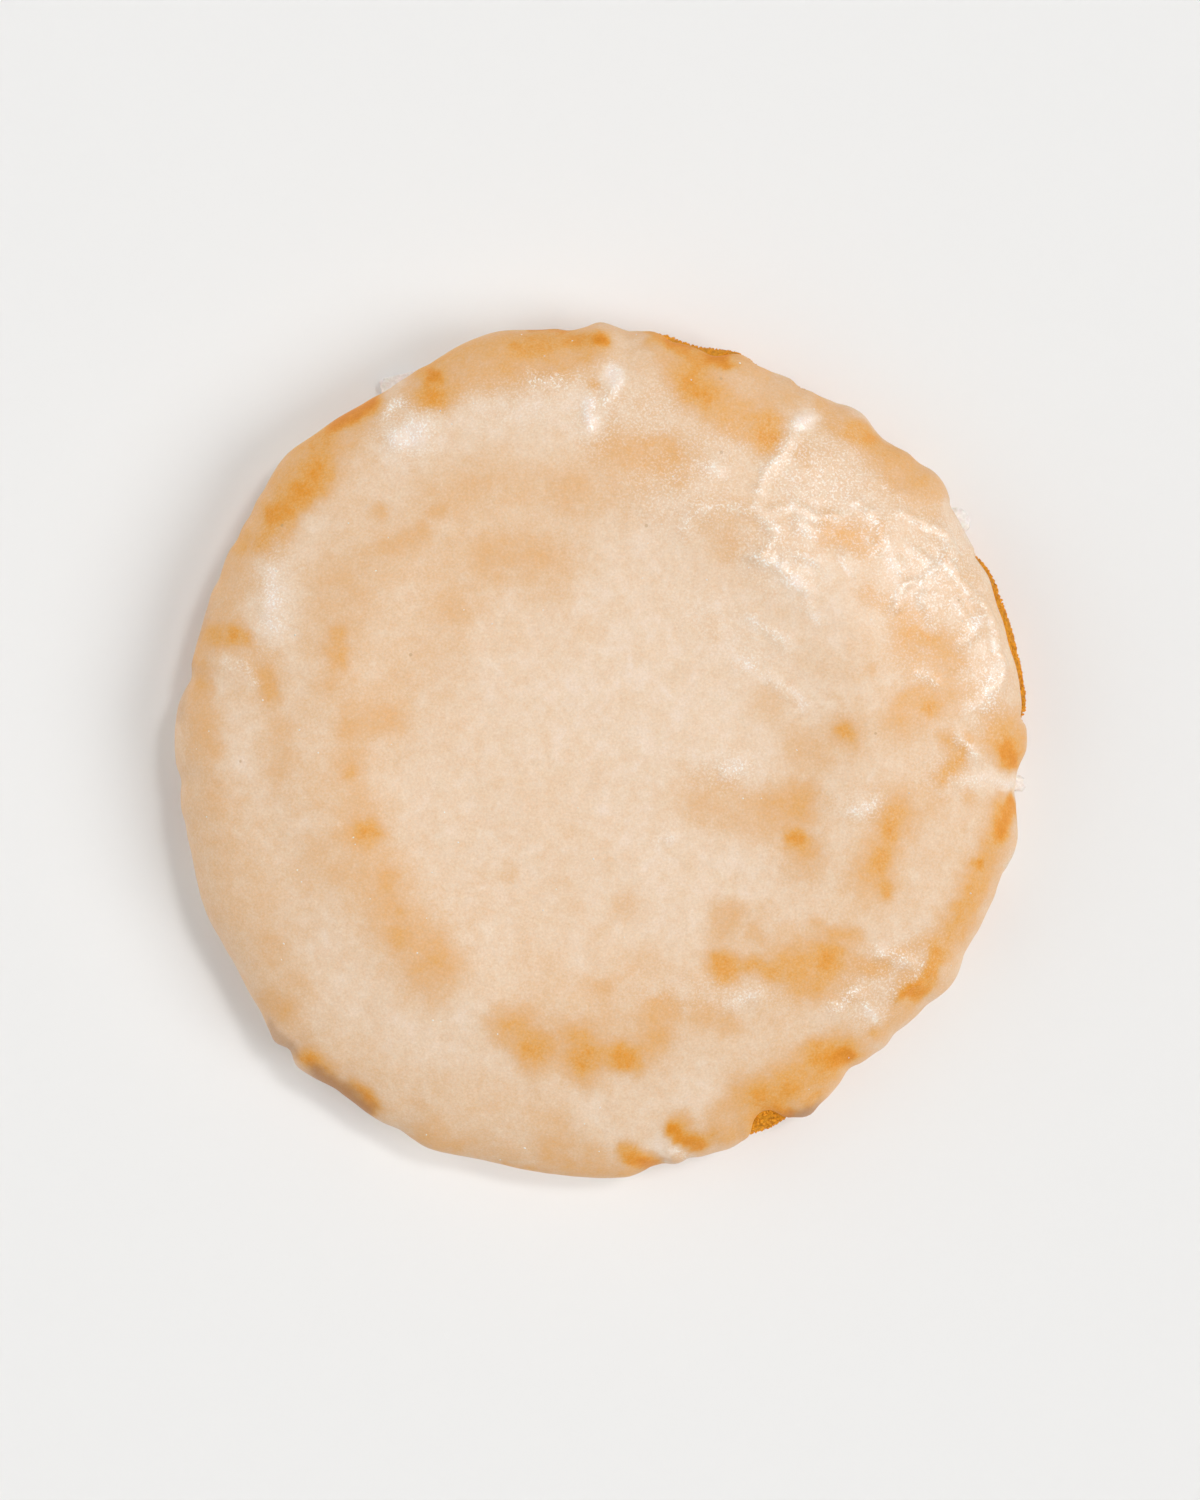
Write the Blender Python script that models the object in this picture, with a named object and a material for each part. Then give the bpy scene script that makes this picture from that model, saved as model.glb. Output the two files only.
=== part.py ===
"""A glazed cookie: one baked round under a poured sugar glaze that runs over its edge.

The origin is the middle of the flat base and +Z is up. Sizes are in millimetres here and
turned into metres where a mesh is made. Angles are in degrees, anticlockwise from +X.
"""

import math

import bmesh
import bpy

MM = 0.001

# Driving sizes, in millimetres.
DIAMETER = 90.0
HEIGHT = 14.4  # the middle of the glazed top above the base
WIDEST_HEIGHT = 5.0  # the widest line of the baked round, above the base
BASE_TUCK = 2.4  # how far the side draws in from the widest line to the base
GLAZE_GAP = 0.3  # kept between the crust and the glaze
TOP_GLAZE = 0.9  # depth of the glaze on the top
LEAST_SIDE_GLAZE = 0.55
RING_RADIUS = 28.0  # a low baked ridge round the top, and how far it rises
RING_RISE = 0.9
RING_WIDTH = 5.5
DOME_POWER = 5.0  # higher is flatter on top and squarer at the shoulder
FALL_POWER = 2.2

# The mesh.
SEGMENTS = 180  # points round the rim
POINT_SPACING = 4.0  # between points on the top and the base
SHOULDER_START = 0.85  # where the shoulder starts, as a share of the radius
POINTS_PER_INNER_RING = 6
PROBE = 0.001  # a small step along the profile, to find its slope

# Turning points of closed wavy lines: (angle, millimetres).
# The glazed rim seen from above, beyond the nominal radius.
RIM_WAVES = [
    (3, -0.5), (13, -0.25), (27, -0.6), (33, 0.3), (38.5, 0.75), (43, 0.1), (48, -0.7),
    (53, -0.15), (58.5, -1.35), (66, -0.9), (68, -1.2), (71, -0.8), (76.5, -1.35),
    (81.5, -0.8), (84.5, -0.95), (90, 0.1), (94, -0.55), (97, 0.15), (105, 0.45),
    (110, 0.35), (115, -0.2), (122, -0.45), (130, 0.0), (137, 0.45), (142, 0.15),
    (147, -0.5), (152, -0.35), (163, -0.8), (169, -0.75), (175, 0.0), (181, 0.0),
    (186, -0.35), (191, -0.05), (194, -0.15), (204, 0.15), (210, 0.1), (216, 0.3),
    (224, 1.45), (228, 1.2), (232, 0.75), (239, 0.75), (242, 0.4), (246, 0.8),
    (253, 0.35), (268, 0.15), (273, 0.2), (278.5, -0.65), (284, -0.6), (290, -0.9),
    (294.5, -1.45), (299.5, -0.65), (303, -0.95), (308, -2.3), (313, -1.55),
    (317, -1.7), (327, -0.6), (332, -1.0), (339, -0.95), (347.5, -0.05), (355, -0.9),
]
# The baked round at its widest line, beyond the nominal radius.
CRUST_WAVES = [
    (2, -0.9), (7, 0.0), (24, 0.0), (30, -1.0), (38, -0.7), (48, -2.0), (53, -1.6),
    (58.5, -1.35), (65, -1.9), (71, -0.8), (76.5, -1.35), (81.5, -0.8), (87, -1.6),
    (105, -1.0), (120, -1.8), (137, -1.0), (150, -1.8), (168, -2.0), (180, -1.4),
    (193, -1.5), (212, -1.1), (225, -0.2), (240, -0.7), (272, -1.2), (286, -2.0),
    (294.5, -1.45), (300, -2.0), (308, -3.4), (315, -3.0), (328, -1.9), (347, -1.4),
    (355, -2.1),
]
# The glaze's lower edge above the base. It is low under each drip, and high on the
# shoulder where the crumb is left bare.
HEM_WAVES = [
    (5, 6.8), (15, 7.2), (26, 6.8), (35, 2.6), (40, 1.4), (47, 4.4), (52, 3.6),
    (59, 7.2), (64, 5.4), (69, 7.4), (73, 8.6), (77, 8.0), (80, 8.4), (86, 5.2),
    (93, 2.2), (98, 3.2), (105, 1.2), (113, 3.2), (118, 1.0), (125, 3.0), (137, 1.0),
    (147, 3.8), (152, 2.4), (164, 4.4), (178, 1.2), (187, 3.4), (200, 1.4), (210, 3.0),
    (224, 0.9), (234, 2.6), (246, 1.0), (256, 2.8), (273, 1.2), (280, 3.4), (285, 2.6),
    (294.5, 8.8), (302, 2.6), (308, 4.4), (314, 2.4), (319, 3.4), (327, 1.4),
    (337, 5.0), (346, 1.4), (352, 3.0), (357, 1.9),
]
# Dry flakes of glaze left on the hem: the angle, how far out they start and reach, how
# high they reach, and their width round the rim.
FLAKES = [
    {"angle": 118.3, "root": 43.2, "tip": 45.7, "top": 1.8, "width": 3.6},
    {"angle": 32.8, "root": 44.75, "tip": 45.75, "top": 4.9, "width": 1.9},
    {"angle": 355.4, "root": 43.2, "tip": 44.95, "top": 2.6, "width": 1.1},
]
FLAKE_THICKNESS = 0.7
FLAKE_BEVEL = 0.12

CRUST_COLOUR = (0.56, 0.27, 0.07)
GLAZE_COLOUR = (0.82, 0.62, 0.42)


def wave(points, angle):
    """The value at an angle, eased between the turning points of a closed wavy line."""
    angle %= 360
    last_angle, last_value = points[-1]
    before = (last_angle - 360, last_value)
    first_angle, first_value = points[0]
    for point in points + [(first_angle + 360, first_value)]:
        if angle <= point[0]:
            share = (angle - before[0]) / (point[0] - before[0])
            ease = (1 - math.cos(math.pi * share)) / 2
            return before[1] + (point[1] - before[1]) * ease
        before = point
    return first_value


def rim_radius(angle):
    return DIAMETER / 2 + wave(RIM_WAVES, angle)


def crust_radius(angle):
    return DIAMETER / 2 + wave(CRUST_WAVES, angle)


def ridge(radius):
    """The low baked ridge round the top."""
    return RING_RISE * math.exp(-(((radius - RING_RADIUS) / RING_WIDTH) ** 2))


def dome(share):
    """Height of the crust at a share of its radius, from 0 at the middle to 1."""
    top = HEIGHT - TOP_GLAZE - GLAZE_GAP
    fallen = max(0.0, 1 - share**DOME_POWER) ** (1 / FALL_POWER)
    return WIDEST_HEIGHT + (top - WIDEST_HEIGHT) * fallen


def crust_profile(angle, station):
    """Radius and height of the crust. Station 0 is the middle of the top, 1 the start of
    the shoulder, 2 the widest line and 3 the edge of the flat base."""
    widest = crust_radius(angle)
    if station <= 1:
        share = station * SHOULDER_START
        return share * widest, dome(share) + ridge(share * widest)
    if station <= 2:
        start = math.asin(SHOULDER_START ** (DOME_POWER / 2))
        turn = start + (station - 1) * (math.pi / 2 - start)
        share = math.sin(turn) ** (2 / DOME_POWER)
        return share * widest, dome(share) + ridge(share * widest)
    turn = (station - 2) * math.pi / 2
    return widest - BASE_TUCK * (1 - math.cos(turn)), WIDEST_HEIGHT * (1 - math.sin(turn))


def off_crust(angle, station, distance):
    """A point at a distance outside the crust, square to its profile."""
    radius, height = crust_profile(angle, station)
    r0, z0 = crust_profile(angle, max(0.0, station - PROBE))
    r1, z1 = crust_profile(angle, min(3.0, station + PROBE))
    length = math.hypot(r1 - r0, z1 - z0)
    radius += distance * (z0 - z1) / length
    height += distance * (r1 - r0) / length
    turn = math.radians(angle)
    return radius * math.cos(turn), radius * math.sin(turn), height


def hem_station(angle):
    """The station where the crust is as high as the glaze's lower edge."""
    wanted = wave(HEM_WAVES, angle)
    low, high = 1.0, 3.0
    while high - low > PROBE:
        middle = (low + high) / 2
        if crust_profile(angle, middle)[1] > wanted:
            low = middle
        else:
            high = middle
    return low


def side_glaze(angle):
    """Depth of the glaze on the side, which brings it out to the rim line."""
    return max(LEAST_SIDE_GLAZE, rim_radius(angle) - crust_radius(angle) - GLAZE_GAP)


def ring(count, place):
    """A closed ring of points, where place turns an angle into a point."""
    return [place(360 * i / count) for i in range(count)]


def inner_rings(place):
    """Rings that grow by the same number of points, from the middle to the shoulder, where
    place turns an angle and a station into a point."""
    steps = round(SHOULDER_START * DIAMETER / 2 / POINT_SPACING)
    rings = [[place(0, 0)]]
    for step in range(1, steps + 1):
        count = POINTS_PER_INNER_RING * step
        rings.append(ring(count, lambda a, s=step / steps: place(a, s)))
    rings.append(ring(SEGMENTS // 2, lambda a: place(a, 1 + 0.5 / steps)))
    return rings


def bridge(mesh, upper, lower):
    """Triangles between two closed rings, which may hold different numbers of points."""
    i = j = 0
    while i < len(upper) or j < len(lower):
        a, b = upper[i % len(upper)], lower[j % len(lower)]
        if (i + 1) * len(lower) <= (j + 1) * len(upper):
            i += 1
            mesh.faces.new((a, b, upper[i % len(upper)]))
        else:
            j += 1
            mesh.faces.new((a, b, lower[j % len(lower)]))


def fan(mesh, pole, around, pole_first):
    for i, a in enumerate(around):
        b = around[(i + 1) % len(around)]
        mesh.faces.new((pole, a, b) if pole_first else (pole, b, a))


def solid(name, rings, material):
    """A closed object through rings of points, from the pole on top to the last pole."""
    mesh = bmesh.new()
    made = [[mesh.verts.new([MM * c for c in p]) for p in points] for points in rings]
    fan(mesh, made[0][0], made[1], pole_first=True)
    for upper, lower in zip(made[1:-2], made[2:-1]):
        bridge(mesh, upper, lower)
    fan(mesh, made[-1][0], made[-2], pole_first=False)
    data = bpy.data.meshes.new(name)
    mesh.to_mesh(data)
    mesh.free()
    data.shade_smooth()
    data.set_sharp_from_angle(angle=math.radians(50))
    data.materials.append(material)
    made_object = bpy.data.objects.new(name, data)
    bpy.context.scene.collection.objects.link(made_object)
    return made_object


def material_of(name, colour, roughness):
    material = bpy.data.materials.new(name)
    material.use_nodes = True
    shader = material.node_tree.nodes["Principled BSDF"]
    shader.inputs["Base Color"].default_value = (*colour, 1)
    shader.inputs["Roughness"].default_value = roughness
    shader.inputs["Metallic"].default_value = 0
    return material


def make_cookie(material):
    """The baked round: a low dome with a soft shoulder, a tucked-in side and a flat base."""

    def on_crust(angle, station):
        return off_crust(angle, station, 0)

    rings = inner_rings(on_crust)
    for station in (1.15, 1.3, 1.45, 1.6, 1.75, 1.9, 2.1, 2.4, 2.7, 3.0):
        rings.append(ring(SEGMENTS, lambda a, s=station: on_crust(a, s)))
    base = [[(x * share, y * share, 0.0) for x, y, _ in ring(count, lambda a: on_crust(a, 3))]
            for share, count in ((0.8, SEGMENTS // 2), (0.4, SEGMENTS // 4))]
    return solid("baked_cookie", rings + base + [[(0.0, 0.0, 0.0)]], material)


def make_glaze(material):
    """The glaze: a coat that follows the crust and ends in a rounded, uneven hem."""

    def outside(angle, station):
        thickened = min(1.0, station) ** DOME_POWER
        depth = TOP_GLAZE + (side_glaze(angle) - TOP_GLAZE) * thickened
        return off_crust(angle, station, GLAZE_GAP + depth)

    def hanging(angle, share, depth):
        """A point on the hanging stretch, from the shoulder at share 0 to the hem at 1."""
        start = 1.1
        station = start + share * (hem_station(angle) - start)
        return off_crust(angle, station, GLAZE_GAP + depth * side_glaze(angle))

    rings = inner_rings(outside)
    outer = ((0.2, 1.0), (0.4, 1.0), (0.6, 1.0), (0.8, 1.0), (0.93, 0.9), (1.0, 0.4))
    inner = ((1.0, 0.0), (0.83, 0.0), (0.66, 0.0), (0.5, 0.0), (0.33, 0.0), (0.17, 0.0))
    for share, depth in outer + inner:
        rings.append(ring(SEGMENTS, lambda a, s=share, d=depth: hanging(a, s, d)))
    lining = inner_rings(lambda a, s: off_crust(a, s, GLAZE_GAP))
    return solid("sugar_glaze", rings + lining[::-1], material)


def add_flake(glaze, flake):
    """A dry flake, joined to the glaze where the two overlap."""
    mesh = bmesh.new()
    bmesh.ops.create_cube(mesh, size=1)
    for vertex in mesh.verts:
        across = 0.8 if vertex.co.x > 0 else 1.0  # narrower at the tip
        vertex.co.x *= (flake["tip"] - flake["root"]) * MM
        vertex.co.y *= flake["width"] * across * MM
        vertex.co.z *= FLAKE_THICKNESS * MM
    bmesh.ops.bevel(mesh, geom=mesh.edges[:], offset=FLAKE_BEVEL * MM, segments=1,
                    affect="EDGES")
    name = f"flake_at_{flake['angle']:.0f}"
    data = bpy.data.meshes.new(name)
    mesh.to_mesh(data)
    mesh.free()
    helper = bpy.data.objects.new(name, data)
    bpy.context.scene.collection.objects.link(helper)
    turn = math.radians(flake["angle"])
    middle = (flake["tip"] + flake["root"]) / 2 * MM
    height = (flake["top"] - FLAKE_THICKNESS / 2) * MM
    helper.location = (middle * math.cos(turn), middle * math.sin(turn), height)
    helper.rotation_euler = (0, 0, turn)
    helper.hide_render = True
    helper.display_type = "WIRE"
    join = glaze.modifiers.new(name, "BOOLEAN")
    join.operation = "UNION"
    join.object = helper
    return helper


def centre_on_origin(objects):
    """Moves every mesh so that the widest span in X and in Y is centred on the origin."""
    rim = ring(SEGMENTS, lambda a: (max(rim_radius(a), crust_radius(a)), math.radians(a)))
    for axis, turned in ((0, math.cos), (1, math.sin)):
        span = [radius * turned(angle) for radius, angle in rim]
        shift = -MM * (min(span) + max(span)) / 2
        for item in objects:
            if item.hide_render:
                item.location[axis] += shift
            else:
                for vertex in item.data.vertices:
                    vertex.co[axis] += shift


def main():
    for item in list(bpy.data.objects):
        bpy.data.objects.remove(item)
    cookie = make_cookie(material_of("baked crumb", CRUST_COLOUR, 0.85))
    glaze = make_glaze(material_of("sugar glaze", GLAZE_COLOUR, 0.4))
    helpers = [add_flake(glaze, flake) for flake in FLAKES]
    centre_on_origin([cookie, glaze, *helpers])


main()
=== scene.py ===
import math

import bpy
import numpy as np
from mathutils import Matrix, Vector


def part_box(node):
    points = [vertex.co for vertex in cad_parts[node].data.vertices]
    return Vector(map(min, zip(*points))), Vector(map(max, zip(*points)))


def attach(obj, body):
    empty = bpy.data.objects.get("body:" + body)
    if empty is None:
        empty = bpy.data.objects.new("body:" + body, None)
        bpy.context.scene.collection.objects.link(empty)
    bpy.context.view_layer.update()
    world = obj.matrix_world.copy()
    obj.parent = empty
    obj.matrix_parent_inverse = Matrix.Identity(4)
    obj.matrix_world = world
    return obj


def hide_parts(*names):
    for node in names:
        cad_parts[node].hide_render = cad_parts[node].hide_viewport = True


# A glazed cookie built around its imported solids. Sizes in the dictionaries are in
# millimetres, angles are in degrees anticlockwise from +X, heights are above the base.

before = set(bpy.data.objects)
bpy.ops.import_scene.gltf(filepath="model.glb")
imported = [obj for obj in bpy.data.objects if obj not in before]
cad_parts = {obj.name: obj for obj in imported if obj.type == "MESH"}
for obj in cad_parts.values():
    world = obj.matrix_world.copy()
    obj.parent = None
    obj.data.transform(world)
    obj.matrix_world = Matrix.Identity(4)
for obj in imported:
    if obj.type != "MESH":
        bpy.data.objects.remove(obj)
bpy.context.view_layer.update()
print("frame loaded:", sorted(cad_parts))

mm = 0.001
scene = bpy.context.scene
scene.view_settings.view_transform = "Standard"


def meshPoints(node):
    coords = np.empty(len(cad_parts[node].data.vertices) * 3)
    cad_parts[node].data.vertices.foreach_get("co", coords)
    return coords.reshape(-1, 3) / mm


def aroundRim(node, pick, above=0.0, bins=180):
    # for each direction, the widest radius or the lowest height of a solid
    points = meshPoints(node)
    radius = np.hypot(points[:, 0], points[:, 1])
    keep = (radius > 0.85 * radius.max()) & (points[:, 2] >= above)  # the outer part only
    turn = np.degrees(np.arctan2(points[keep, 1], points[keep, 0]))
    index = np.round(turn * bins / 360).astype(int) % bins
    if pick == "widest":
        values = np.zeros(bins)
        np.maximum.at(values, index, radius[keep])
    else:
        values = np.full(bins, 99.0)
        np.minimum.at(values, index, points[keep, 2])
    return values


def roundLine(values, angles):
    # a smooth closed line through values at equal steps, read at any angle
    count = len(values)
    place = np.mod(angles, 360) * count / 360
    i = np.floor(place).astype(int)
    t = place - i
    a, b, c, d = (values[(i + k) % count] for k in (-1, 0, 1, 2))
    return b + 0.5 * t * (c - a + t * (2 * a - 5 * b + 4 * c - d + t * (3 * (b - c) + d - a)))


crustRim = aroundRim("baked_cookie", "widest")
glazeRim = aroundRim("sugar_glaze", "widest", above=4.96)  # above the flakes
glazeHem = aroundRim("sugar_glaze", "lowest")
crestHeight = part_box("baked_cookie")[1].z / mm
print("rim lines read from the solids")


# Smooth noise on a plane, about -1 to 1, from a seeded grid of slopes.
def ripples(x, y, size, seed):
    slopes = np.random.default_rng(seed).uniform(0, 2 * math.pi, (64, 64))
    u, v = x / size + 0.37 * seed, y / size + 0.61 * seed
    i, j = np.floor(u).astype(int), np.floor(v).astype(int)
    s, t = u - i, v - j

    def corner(di, dj):
        turn = slopes[(i + di) % 64, (j + dj) % 64]
        return np.cos(turn) * (s - di) + np.sin(turn) * (t - dj)

    easeS = s * s * s * (s * (s * 6 - 15) + 10)
    easeT = t * t * t * (t * (t * 6 - 15) + 10)
    low = corner(0, 0) + easeS * (corner(1, 0) - corner(0, 0))
    high = corner(0, 1) + easeS * (corner(1, 1) - corner(0, 1))
    return 1.4 * (low + easeT * (high - low))


def spot(x, y, middleX, middleY, wide, high, turn):
    # 1 in the middle of a turned oval, level inside it and soft at its edge
    c, k = math.cos(math.radians(turn)), math.sin(math.radians(turn))
    along = (x - middleX) * c + (y - middleY) * k
    across = (y - middleY) * c - (x - middleX) * k
    far = (2 * along / wide) ** 2 + (2 * across / high) ** 2
    return np.exp(-0.8 * far ** 1.3)


def strokeDistance(x, y, line):
    # distance to a line through points (x and y in turn), or to a single point
    points = np.reshape(line, (-1, 2))
    if len(points) == 1:
        return np.hypot(x - line[0], y - line[1])
    best = np.full(len(x), 1e9)
    for (ax, ay), (bx, by) in zip(points[:-1], points[1:]):
        dx, dy = bx - ax, by - ay
        share = np.clip(((x - ax) * dx + (y - ay) * dy) / (dx * dx + dy * dy), 0, 1)
        best = np.minimum(best, np.hypot(x - ax - share * dx, y - ay - share * dy))
    return best


def brushed(x, y, width, line):
    # 1 under a soft brush drawn along a line, 0 away from it
    return np.exp(-0.8 * (2 * strokeDistance(x, y, line) / width) ** 3)


bakedRound = {
    "widestHeight": 5.0,
    "baseTuck": 2.4,
    "domePower": 5.0,
    "fallPower": 2.2,
    "shoulderStart": 0.85,
    "ringRadius": 28.0,
    "ringRise": 0.9,
    "ringWidth": 5.5,
    "crestAboveMiddle": 0.57,
    "waveFade": 9,
}
roundMean = float(np.mean(crustRim))


def guideProfile(widest, station):
    # 0 middle of the top, 1 start of the shoulder, 2 widest line, 3 edge of the base
    b = bakedRound
    start = math.asin(b["shoulderStart"] ** (b["domePower"] / 2))
    turn = start + (np.clip(station, 1, 2) - 1) * (math.pi / 2 - start)
    share = np.where(station <= 1, station * b["shoulderStart"],
                     np.sin(turn) ** (2 / b["domePower"]))
    fallen = np.maximum(0, 1 - share ** b["domePower"]) ** (1 / b["fallPower"])
    middle = crestHeight - b["crestAboveMiddle"]
    radius = share * roundMean + (widest - roundMean) * share ** b["waveFade"]
    height = b["widestHeight"] + (middle - b["widestHeight"]) * fallen
    height += b["ringRise"] * np.exp(-(((radius - b["ringRadius"]) / b["ringWidth"]) ** 2))
    under = np.clip(station - 2, 0, 1) * math.pi / 2
    radius = np.where(station > 2, widest - b["baseTuck"] * (1 - np.cos(under)), radius)
    height = np.where(station > 2, b["widestHeight"] * (1 - np.sin(under)), height)
    return radius, height


def guideFrame(angles, station):
    # radius, height and outward direction of the crust's smooth guide surface
    widest = roundLine(crustRim, angles)
    radius, height = guideProfile(widest, station)  # stations close by give the slope
    r0, z0 = guideProfile(widest, np.maximum(station - 0.002, 0))
    r1, z1 = guideProfile(widest, np.minimum(station + 0.002, 3))
    length = np.hypot(r1 - r0, z1 - z0) + 1e-12
    return radius, height, (z0 - z1) / length, (r1 - r0) / length


def stationAtHeight(angles, wanted):
    # found by halving, between the start of the shoulder and the base
    low, high = np.ones(len(angles)), np.full(len(angles), 3.0)
    widest = roundLine(crustRim, angles)
    for _ in range(14):
        middle = (low + high) / 2
        above = guideProfile(widest, middle)[1] > wanted
        low, high = np.where(above, middle, low), np.where(above, high, middle)
    return low


def ringAngles(count):
    return np.arange(count) * 360 / count


def bridge(faces, startA, countA, startB, countB):
    # triangles between two closed rings, which may hold different numbers of points
    i = j = 0
    while i < countA or j < countB:
        a, b = startA + i % countA, startB + j % countB
        if (i + 1) * countB <= (j + 1) * countA:
            i += 1
            faces.append((a, b, startA + i % countA))
        else:
            j += 1
            faces.append((a, b, startB + j % countB))


def skinOfRings(name, rings, values=None):
    # a closed mesh through rings of points (arrays of x, y, z), first and last are poles
    counts = [len(r) for r in rings]
    starts = np.concatenate([[0], np.cumsum(counts)[:-1]]).tolist()
    faces = []
    for k in range(counts[1]):
        faces.append((0, starts[1] + k, starts[1] + (k + 1) % counts[1]))
    for k in range(1, len(rings) - 2):
        bridge(faces, starts[k], counts[k], starts[k + 1], counts[k + 1])
    last, ring = starts[-1], starts[-2]
    for k in range(counts[-2]):
        faces.append((last, ring + (k + 1) % counts[-2], ring + k))
    mesh = bpy.data.meshes.new(name)
    mesh.from_pydata((np.concatenate(rings) * mm).tolist(), [], faces)
    for key, data in (values or {}).items():
        attribute = mesh.attributes.new(key, "FLOAT", "POINT")
        attribute.data.foreach_set("value", np.asarray(data, np.float32))
    mesh.shade_smooth()
    return added(name, mesh)


def added(name, data):
    thing = bpy.data.objects.new(name, data)
    scene.collection.objects.link(thing)
    return thing


def placed(angles, radius, height):
    turn = np.radians(angles)
    return np.stack([radius * np.cos(turn), radius * np.sin(turn), height], axis=1)


def fill(tree, made, **sockets):
    # sets or links a node's sockets by name, or by place as i0
    for key, value in sockets.items():
        socket = made.inputs[int(key[1:]) if key[1:].isdigit() else key.replace("_", " ")]
        if isinstance(value, bpy.types.NodeSocket):
            tree.links.new(value, socket)
        else:
            socket.default_value = value
    return made


def node(tree, kind, props=None, **sockets):
    made = tree.nodes.new(kind)
    for key, value in (props or {}).items():
        setattr(made, key, value)
    return fill(tree, made, **sockets)


def maths(tree, operation, a, b=0.0, clamp=False):
    return node(tree, "ShaderNodeMath", {"operation": operation, "use_clamp": clamp},
                i0=a, i1=b).outputs[0]


def plus(tree, base, value, share, clamp=False):
    return maths(tree, "ADD", base, maths(tree, "MULTIPLY", value, share), clamp)


def swing(tree, pattern, share):
    # a pattern of 0 to 1 made to go half the share up and down about 0
    return maths(tree, "MULTIPLY", maths(tree, "SUBTRACT", pattern, 0.5), share)


def mixed(tree, share, a, b, blend="MIX"):
    return node(tree, "ShaderNodeMix", {"data_type": "RGBA", "blend_type": blend},
                i0=share, i6=a, i7=b).outputs[2]


def ramp(tree, value, stops):
    made = node(tree, "ShaderNodeValToRGB", i0=value)
    elements = made.color_ramp.elements
    while len(elements) < len(stops):
        elements.new(0.5)
    for element, (place, colour) in zip(elements, stops):
        element.position = place
        element.color = (*colour, 1)
    return made.outputs[0]


def noise(tree, where, size, detail=2.0, rough=0.5, bend=0.0):
    # size is the width of one feature in millimetres
    return node(tree, "ShaderNodeTexNoise", Vector=where, Scale=1 / (size * mm), Detail=detail,
                Roughness=rough, Distortion=bend).outputs["Fac"]


def attributeOf(tree, name):
    return node(tree, "ShaderNodeAttribute", {"attribute_name": name}).outputs["Fac"]


def bumped(tree, height, depth, below=None):
    sockets = {"Height": height, "Distance": depth * mm, "Strength": 1.0}
    if below is not None:
        sockets["Normal"] = below
    return node(tree, "ShaderNodeBump", **sockets).outputs[0]


def newMaterial(name):
    material = bpy.data.materials.new(name)
    material.use_nodes = True
    tree = material.node_tree
    where = node(tree, "ShaderNodeTexCoord").outputs["Object"]
    return material, tree, tree.nodes["Principled BSDF"], where


glazeLook = {
    # colour of the glaze from bare, where the crust shows through, to thick and white
    "colours": [(0.0, (0.68, 0.225, 0.003)), (0.17, (0.73, 0.285, 0.022)),
                (0.30, (0.733, 0.333, 0.060)), (0.42, (0.732, 0.382, 0.12)),
                (0.55, (0.73, 0.423, 0.195)), (0.67, (0.73, 0.463, 0.255)),
                (0.78, (0.755, 0.525, 0.336)), (0.88, (0.79, 0.603, 0.439)),
                (1.0, (0.843, 0.694, 0.577))],
    # the darker brown, also laid in as painted shadow beside the notch
    "darkening": (0.36, 0.16, 0.06),
    "cloudSize": 1.7,
    "cloudShare": 0.30,
    "grainSize": 0.27,
    "grainShare": 0.24,
    "patchiness": 2.0,  # cloud and grain on the bare crust
    "evenWhereThick": 1.3,  # how much of it goes where the glaze hides the crust
    # painted highlight: the crests of the folds are painted whiter
    "crestHighlightLift": 0.16,  # how much whiter the crests of the folds are
    "speckleSize": 0.2,
    "speckleShare": 0.05,
    "roughness": 0.60,
    "roughnessChange": 0.2,
    "pinholeSpacing": 7.0,
    "pinholeWidth": 0.36,
    "pinholeDepth": 0.05,
    # pinholes are darkened in colour: the crust showing through, with painted shade in the hole
    "pinholeCrustAndShadeShare": 0.45,
    "pinholeCrustAndShadeColour": (0.45, 0.27, 0.13),
    "skinSize": 1.3,
    "skinBump": 0.035,
    "grainBump": 0.016,
    "crystalSize": 0.22,
    "crystalRange": (0.52, 0.61),
    "crystalCover": 1.3,  # crystals thin out where the cover falls below 1 over this
    "crystalBump": 0.042,
    # whitish sugar crystals, laid in thickest where the skin shines: partly painted highlight
    "crystalGlintColour": (0.90, 0.85, 0.79),
    # amounts everywhere, where the skin is crumpled, and along the crests: first of the painted
    # glint in the colour, then of the coat's gloss
    "crystalGlintShares": (0.05, 0.55, 1.1),
    "coatShares": (0.05, 0.35, 0.6),
}


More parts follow.
